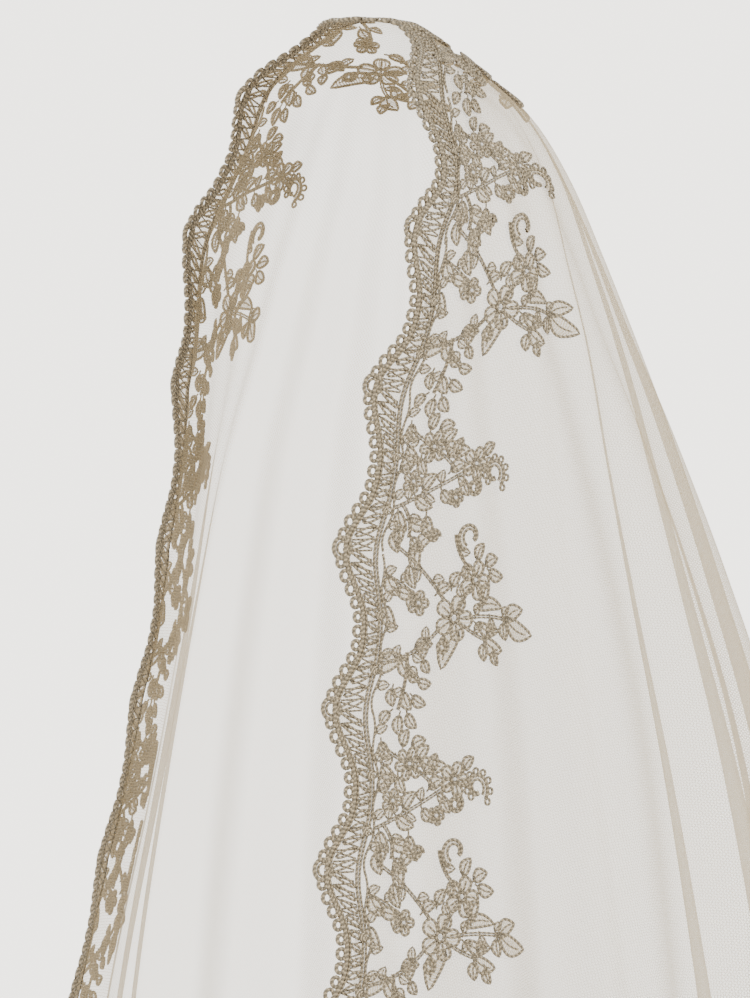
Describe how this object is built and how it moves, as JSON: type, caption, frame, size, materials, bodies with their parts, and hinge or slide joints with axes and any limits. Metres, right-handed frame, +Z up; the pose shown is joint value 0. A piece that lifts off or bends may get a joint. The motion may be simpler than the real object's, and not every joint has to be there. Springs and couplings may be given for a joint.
{
  "type": "mantilla veil",
  "caption": "Mantilla veil of sheer ivory net, elbow length, with a scalloped pierced lace edging and floral lace sprays, hanging in soft folds as worn",
  "frame": {"origin": "underside of the net where it rests on the top of a crown", "axes": "+Z up, open front faces -Y, +X the wearer's left"},
  "size_m": [0.4728, 0.4713, 0.71],
  "materials": {
    "net": "fine sheer net, soft sheen",
    "lace": "glossy corded thread on net"
  },
  "bodies": {
    "root": {"net_veil": "net", "edging_lace": "lace", "spray_01": "lace", "spray_02": "lace", "spray_03": "lace", "spray_04": "lace", "spray_05": "lace", "spray_06": "lace", "spray_07": "lace", "spray_08": "lace", "spray_09": "lace", "spray_10": "lace", "spray_11": "lace", "spray_12": "lace", "spray_13": "lace", "spray_14": "lace"}
  },
  "joints": []
}
